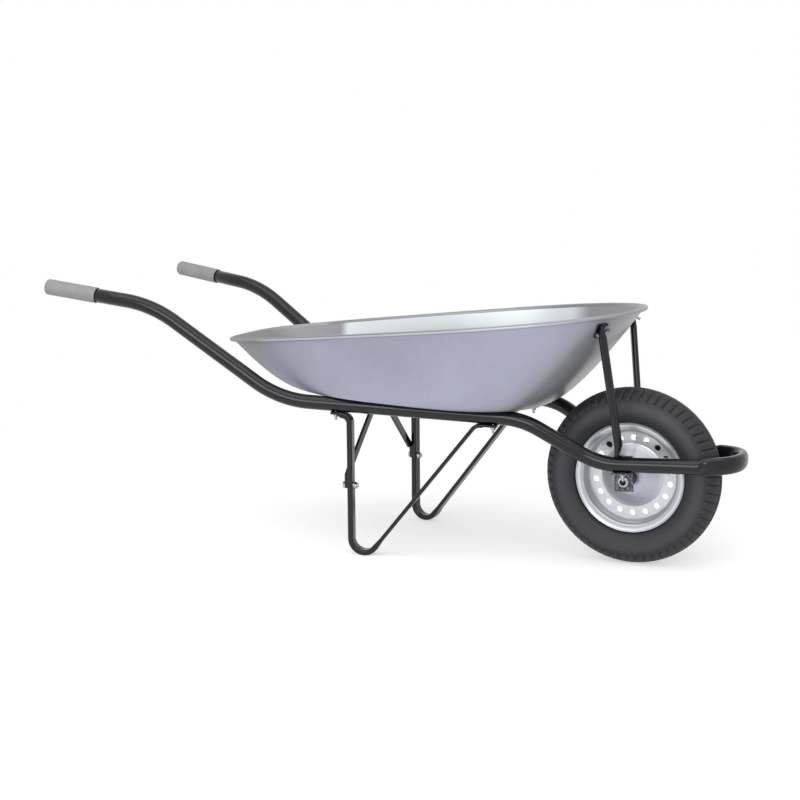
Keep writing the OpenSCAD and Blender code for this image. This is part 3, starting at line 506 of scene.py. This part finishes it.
def pressed_tray(around=320, up=36, roll=20):
    """Closed sheet from the middle of the floor underneath, round the rolled rim, to the
    middle of the floor inside."""
    turns = [360 * (i + 0.5) / around for i in range(around)]
    levels = [ROLL_LEVEL * (i / up) for i in range(up + 1)]
    rolls = [ROLL_FROM - ROLL_BY * i / roll for i in range(roll + 1)]
    floor_shares = (0.15, 0.4, 0.65, 0.85, 0.95)
    lift = Vector((0, 0, SHEET / math.cos(math.atan(BED_FALL))))

    def floor_ring(share, rise):
        ring = [wall(t, 0) for t in turns]
        middle = sum(ring, Vector()) / around
        return [middle + (p - middle) * share + rise for p in ring]

    def inner(turn, level):
        if level:
            return wall(turn, level) - SHEET * wall_normal(turn, level)
        return wall(turn, 0) + lift

    rings = [floor_ring(share, Vector()) for share in floor_shares]
    rings += [[wall(t, v) for t in turns] for v in levels]
    rings += [[rolled_rim(t, BEAD_R - SHEET, a) for t in turns] for a in rolls]
    outer_rows = len(rings)
    rings += [[rolled_rim(t, BEAD_R, a) for t in turns] for a in reversed(rolls)]
    rings += [[inner(t, v) for t in turns] for v in reversed(levels)]
    rings += [floor_ring(share, lift) for share in reversed(floor_shares)]
    # Finishes by their place in stands_for: outside, inside, top of the rim, edge of the rim
    bead = [3 if angle < 4 else 2 for angle in reversed(rolls)]
    inner_rows = len(rings) - outer_rows - len(bead)
    return loft("pressed_tray", rings, [0] * outer_rows + bead + [1] * inner_rows)


# Ends of the tube inside the grips: station, height, distance apart, and toe-in in degrees
GRIP_X = AXLE_X - 1303
GRIP_Z = 581
GRIPS_APART = 563
TOE_IN = 8.3
# Bends from the handle to the front of the bed: station, height and radius
BENDS = ((AXLE_X - 1047, 544, 277), (*BED_REAR, 243), (*BED_FRONT, 162))
# Bend where the tube comes alongside the wheel: station and radius
ALONGSIDE_X = AXLE_X - 53
ALONGSIDE_R = 135
# Beside the wheel: half the distance between the tubes' middles, their height over the
# ground at the axle, their rise in degrees, and the radius of the loop's corners
LOOP_HALF = 79.5
LOOP_HIGH = 229.6
LOOP_RISE = 2.7
LOOP_R = 75.5


def side_of_frame(side):
    """Corners of one side's tube in mm, from grip to loop, with the bend radius at each."""

    def toed_in(x, z):
        y = GRIPS_APART / 2 - math.tan(math.radians(TOE_IN)) * (x - GRIP_X)
        return Vector((x, side * y, z))

    def beside_wheel(x):
        z = LOOP_HIGH + math.tan(math.radians(LOOP_RISE)) * (x - AXLE_X)
        return Vector((x, side * LOOP_HALF, z))

    corners = [(toed_in(GRIP_X, GRIP_Z), 0)]
    corners += [(toed_in(x, z), radius) for x, z, radius in BENDS]
    return corners + [(beside_wheel(ALONGSIDE_X), ALONGSIDE_R), (beside_wheel(LOOP_X), LOOP_R)]


def bent_path(corners):
    """Points along straights joined by round bends, each with its direction."""
    path = []
    points = [corner[0] for corner in corners]
    for i, (point, radius) in enumerate(corners):
        if i in (0, len(corners) - 1):
            ahead = points[1] - points[0] if i == 0 else points[-1] - points[-2]
            path.append((point, ahead.normalized()))
            continue
        before = (point - points[i - 1]).normalized()
        after = (points[i + 1] - point).normalized()
        angle = before.angle(after)
        inward = (after - before * before.dot(after)).normalized()
        start = point - before * radius * math.tan(angle / 2)
        steps = max(2, round(angle * radius / 2))
        for k in range(steps + 1):
            a = angle * k / steps
            place = start + before * radius * math.sin(a) + inward * radius * (1 - math.cos(a))
            path.append((place, before * math.cos(a) + inward * math.sin(a)))
    return path


def smooth(low, high, value):
    """0 below low, 1 above high, and an even S between."""
    share = min(1, max(0, (value - low) / (high - low)))
    return share * share * (3 - 2 * share)


# Stations: the tube is round up to the first and a full oval from the second, and from the
# third on the oval moves out until its outer side is in line with the round tube's
ROUND_TO = 688
OVAL_FROM = 700
MOVED_OUT_FROM = 706
# Oval: narrower and taller than the tube by this at each side, and squarer by these powers
NARROWER = 4.5
TALLER = 2.5
SQUARER = (0.25, 0.15)
# Crimp: stations where it begins, starts to fade and ends, then its depth, how far under the
# tube's middle it is, and its spread
CRIMP = (690, 702, 728)
DENT_DEEP = 5.0
DENT_BELOW = 8
DENT_SPREAD = 7


def bent_tube(around=64):
    """One tube from grip to grip, pressed to a tall oval round the loop, with a crimp where
    that starts."""
    corners = side_of_frame(-1) + side_of_frame(1)[::-1]
    rings = []
    for place, ahead in bent_path(corners):
        level = ahead.cross(Vector((0, 0, 1))).normalized()
        upright = level.cross(ahead)
        flat = smooth(ROUND_TO, OVAL_FROM, place.x)
        pinch = smooth(CRIMP[0], OVAL_FROM, place.x) * (1 - smooth(CRIMP[1], CRIMP[2], place.x))
        ring = []
        for k in range(around):
            a = -2 * math.pi * k / around
            across = signed_power(math.cos(a), 1 - SQUARER[0] * flat) * (TUBE_R - NARROWER * flat)
            along = signed_power(math.sin(a), 1 - SQUARER[1] * flat) * (TUBE_R + TALLER * flat)
            off_dent = (along + DENT_BELOW) / DENT_SPREAD
            dent = DENT_DEEP * pinch * math.exp(-(off_dent**2)) if across > 0 else 0
            across += NARROWER * flat * smooth(MOVED_OUT_FROM, LOOP_X, place.x) - dent
            ring.append(place + level * across + upright * along)
        rings.append(ring)
    return loft("bent_frame_tube", rings, [0] * len(rings))


# Wheel radius to the middle of the tyre's round section, and that section's radii outside
# and inside
SECTION_R = 146.5
CARCASS = 42.9
LINING = 37.9
# Lugs to the turn, and their pitch in degrees
LUGS = 60
PITCH = 360 / LUGS
# Height of the tread, and depths of the grooves between lugs and beside the crown's rib
TREAD = 2.0
LUG_GROOVE = 2.3
RIB_GROOVE = 2.0
# Degrees from the crown: the groove beside the rib, the tread's end beside a groove between
# lugs, how much further a lug's point goes, and half the width of that edge
RIB_GROOVE_AT = (11, 14.4)
TREAD_END = 53.5
LUG_POINT = 4
EDGE_HALF = 0.9
# Degrees from the crown over which a groove between lugs deepens, and over which it runs out
GROOVE_BEGINS = (13, 15)
GROOVE_ENDS = (52, 58)
# Half width of a groove between lugs, in degrees round the wheel
GROOVE_HALF = 0.4
# Degrees round the wheel from a groove to the tyre's rings: at its two walls, and on the lug
LUG_RINGS = (-0.46, -0.34, 0.34, 0.46, 1.8, 3.0, 4.2)
# Slant of the grooves over the crown and over each shoulder, as shares of the pitch, and the
# degrees over which it is taken up
CROWN_SLANT = 0.25
SHOULDER_SLANT = 0.3
CROWN_HALF = 15
SHOULDER = 45
# Bead foot from the sidewall round to the inside: wheel radius and distance from the middle
BEAD_FOOT = ((121, 33.4), (121, 25.3), (106.6, 25.3), (102.6, 21.3), (102, 16.3), (109.6, 16.3))
# Degrees from the crown to the lining's ends at the beads
LINING_END = 116


def tyre_skin(phi, offset):
    """Height of the tyre's outside over its carcass in mm, at degrees from the crown and
    round the wheel from the nearest groove: lugs on each shoulder that end in points, and a
    rib along the crown."""
    p = abs(phi)
    edge = TREAD_END + LUG_POINT * (1 - abs(2 * offset / PITCH - 1))
    height = TREAD * (1 - smooth(edge - EDGE_HALF, edge + EDGE_HALF, p))
    if abs(offset) < GROOVE_HALF or abs(offset - PITCH) < GROOVE_HALF:
        height -= LUG_GROOVE * smooth(*GROOVE_BEGINS, p) * (1 - smooth(*GROOVE_ENDS, p))
    if RIB_GROOVE_AT[0] < p < RIB_GROOVE_AT[1]:
        height -= RIB_GROOVE
    return height


def slant(phi):
    """Degrees round the wheel by which a groove has turned, at degrees from the crown."""
    over_crown = max(-1, min(1, phi / CROWN_HALF))
    over_shoulder = min(1, max(0, (abs(phi) - CROWN_HALF) / SHOULDER))
    return PITCH * (CROWN_SLANT * over_crown + SHOULDER_SLANT * over_shoulder)


def lugged_tyre():
    """Hollow tyre from bead to bead, its grooves slanting across each shoulder, those of one
    side half a pitch from those of the other."""
    # Degrees from the crown of the skin's points, closest at the edges of grooves and lugs
    crown = [0, 5, 10.4, 11.2, 14.2, 15, 18, 22, 26, 30, 34, 38, 42, 46, 49, 51]
    shoulder = [52.4, 53.4, 54.4, 55.4, 56.4, 57.4, 58.6, 60, 63, 67]
    sidewall = [72, 78, 84, 90, 96, 102, 108, 114, 119, 123.5]
    near = crown + shoulder + sidewall
    rings = []
    for lug in range(LUGS):
        for offset in LUG_RINGS:
            ring = []
            for phi in [-a for a in reversed(near[1:])] + near:
                lift = CARCASS + tyre_skin(phi, offset % PITCH)
                a = math.radians(phi)
                ring.append((SECTION_R + lift * math.cos(a), lift * math.sin(a), slant(phi)))
            ring += [(r, y, slant(LINING_END)) for r, y in BEAD_FOOT]
            for phi in range(LINING_END, -LINING_END - 1, -8):
                a = math.radians(phi)
                twist = PITCH * (SHOULDER_SLANT + CROWN_SLANT * phi / LINING_END)
                ring.append((SECTION_R + LINING * math.cos(a), LINING * math.sin(a), twist))
            ring += [(r, -y, slant(-LINING_END)) for r, y in reversed(BEAD_FOOT)]
            turned = []
            for r, y, twist in ring:
                a = math.radians(lug * PITCH + offset + twist)
                turned.append(Vector((AXLE_X + r * math.cos(a), y, AXLE_Z + r * math.sin(a))))
            rings.append(turned)
    return loft("lugged_tyre", rings, [0] * len(rings), hoop=True)


# Middle of the strut's tube at its knee over the frame and at its head under the pad
KNEE = (520.95, 84.5, 268.65)
HEAD = (496.4, 119.5, 499.7)
# How far the head moves back and in, and how much fuller the tube is drawn. What is moved
# lies between these shares of the way from knee to head, and this near to the middle
STRUT_LEAN = (-4.3, -3.8, 0)
STRUT_FULLER = 1.22
STRUT_FROM = -0.03
STRUT_TO = 1.02
STRUT_REACH = 9.5


def wider_strut(name, side):
    """The CAD strut with its tube drawn fuller between knee and head, and leaning a little
    more."""
    cad_mesh = frame["nodes"]["strut_" + name].data
    piece = bpy.data.objects.new("full_strut_" + name, cad_mesh.copy())
    bpy.context.collection.objects.link(piece)
    knee, head, lean = (Vector((x, side * y, z)) * MM for x, y, z in (KNEE, HEAD, STRUT_LEAN))
    for vertex in piece.data.vertices:
        share = (vertex.co.z - knee.z) / (head.z - knee.z)
        middle = knee.lerp(head, share)
        off = vertex.co - middle
        if STRUT_FROM < share < STRUT_TO and off.length < STRUT_REACH * MM:
            vertex.co = middle + off * STRUT_FULLER + lean * max(0, share)
    return piece


def stands_for(piece, node, body, slot, *finishes):
    """Puts a drawn piece in the place of its CAD node, riding on its body. A strut's mesh is
    copied with its finish, so it takes none here."""
    for finish in finishes:
        piece.data.materials.append(finish)
    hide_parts(node)
    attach(piece, body)


tray_finishes = (tray_outside, tray_inside, rim_top, rim_edge)
stands_for(pressed_tray(), "tray", "frame", "galvanised_tray", *tray_finishes)
stands_for(bent_tube(), "frame_tube", "frame", "frame_paint", FINISHES["frame_paint"])
stands_for(lugged_tyre(), "tyre", "wheel", "tyre_rubber", FINISHES["tyre_rubber"])
stands_for(wider_strut("right", -1), "strut_right", "frame", "frame_paint")
stands_for(wider_strut("left", 1), "strut_left", "frame", "frame_paint")


# ---- Room, light and camera ------------------------------------------------


def seen_directly(tree):
    """1 for the camera and for what gloss and glass show, 0 for light bounced off matt things."""
    path = add(tree, "LightPath").outputs
    seen = path["Is Camera Ray"]
    for ray in ("Is Glossy Ray", "Is Transmission Ray"):
        seen = add(tree, "Math", {0: seen, 1: path[ray]}, operation="MAXIMUM").outputs[0]
    return seen


world = bpy.data.worlds.new("studio")
world.use_nodes = True
tree = world.node_tree
tree.nodes["Background"].inputs["Color"].default_value = (1, 1, 1, 1)
tree.nodes["Background"].inputs["Strength"].default_value = 0.5
white = add(tree, "Background", {"Color": (1, 1, 1, 1), "Strength": 1.0})
mix = add(tree, "MixShader", {"Fac": seen_directly(tree), 1: tree.nodes["Background"].outputs[0]})
tree.links.new(white.outputs[0], mix.inputs[2])
tree.links.new(mix.outputs[0], tree.nodes["World Output"].inputs[0])
bpy.context.scene.world = world
bpy.context.scene.view_settings.view_transform = "Standard"


def softbox(name, position, target, size, power):
    """Rectangular lamp aimed at a point, in metres and watts."""
    light = bpy.data.lights.new(name, "AREA")
    light.shape = "RECTANGLE"
    light.size, light.size_y = size
    light.energy = power
    lamp = bpy.data.objects.new(name, light)
    lamp.location = position
    lamp.rotation_euler = (Vector(target) - Vector(position)).to_track_quat("-Z", "Y").to_euler()
    bpy.context.collection.objects.link(lamp)


# All lamps point at the middle of the object
AIM = (0, 0, 0.3)
softbox("overhead_softbox", (0.2, -1.2, 3.4), AIM, (5.0, 2.6), 50)
softbox("front_softbox", (0.4, -3.8, 1.5), AIM, (3.2, 1.8), 50)
# A narrow strip that draws the thin light line along the gloss black tubes
softbox("strip_softbox", (0.4, -3.6, 1.9), AIM, (3.2, 0.2), 9)

floor_mesh = bpy.data.meshes.new("floor")
bm = bmesh.new()
bmesh.ops.create_grid(bm, x_segments=1, y_segments=1, size=40)
bm.to_mesh(floor_mesh)
bm.free()
floor = bpy.data.objects.new("floor", floor_mesh)
bpy.context.collection.objects.link(floor)
# White paper sweep: near the object it takes light and shadow, and further off it is
# the same plain white as the room. Distances in metres, and the glow near the object as a
# share of that white
PAPER_LIT_TO = 0.9
PAPER_PLAIN_FROM = 1.9
PAPER_GLOW = 0.48
floor_paint, tree, shader, place = finish_of(
    "white_paper_floor", Roughness=1.0, Specular_IOR_Level=0.0
)
shader.inputs["Base Color"].default_value = linear("#e6e6e6")
reach = add(tree, "VectorMath", {0: place}, operation="LENGTH").outputs["Value"]
limits = {"Value": reach, "From Min": PAPER_LIT_TO, "From Max": PAPER_PLAIN_FROM}
far = add(tree, "MapRange", limits, interpolation_type="SMOOTHSTEP")
glow = add(tree, "Emission", {"Color": (1, 1, 1, 1), "Strength": 1.0})
near_glow = add(tree, "Emission", {"Color": (1, 1, 1, 1), "Strength": PAPER_GLOW})
lit = add(tree, "AddShader", {0: shader.outputs[0], 1: near_glow.outputs[0]})
paper = add(
    tree, "MixShader", {"Fac": far.outputs["Result"], 1: lit.outputs[0], 2: glow.outputs[0]}
)
mixed = {"Fac": seen_directly(tree), 1: shader.outputs[0], 2: paper.outputs[0]}
shown = add(tree, "MixShader", mixed)
tree.links.new(shown.outputs[0], tree.nodes["Material Output"].inputs["Surface"])
floor_mesh.materials.append(floor_paint)

camera_data = bpy.data.cameras.new("camera")
camera_data.lens = 68.39
camera_data.sensor_width = 36
camera_data.clip_end = 100
camera = bpy.data.objects.new("camera", camera_data)
# Camera: place in metres, and degrees that it looks down, stands round and is rolled
CAMERA_AT = (1.39055, -3.11573, 0.89933)
down, around, roll = (math.radians(a) for a in (9.606, 24.332, -0.454))
level_part = math.cos(down)
looking = Vector((-math.sin(around) * level_part, math.cos(around) * level_part, -math.sin(down)))
right = Vector((math.cos(around), math.sin(around), 0))
up = right.cross(looking)
right_tilted = right * math.cos(roll) + up * math.sin(roll)
up_tilted = up * math.cos(roll) - right * math.sin(roll)
turned_to = Matrix((right_tilted, up_tilted, -looking)).transposed().to_4x4()
camera.matrix_world = Matrix.Translation(CAMERA_AT) @ turned_to
bpy.context.collection.objects.link(camera)
bpy.context.scene.camera = camera
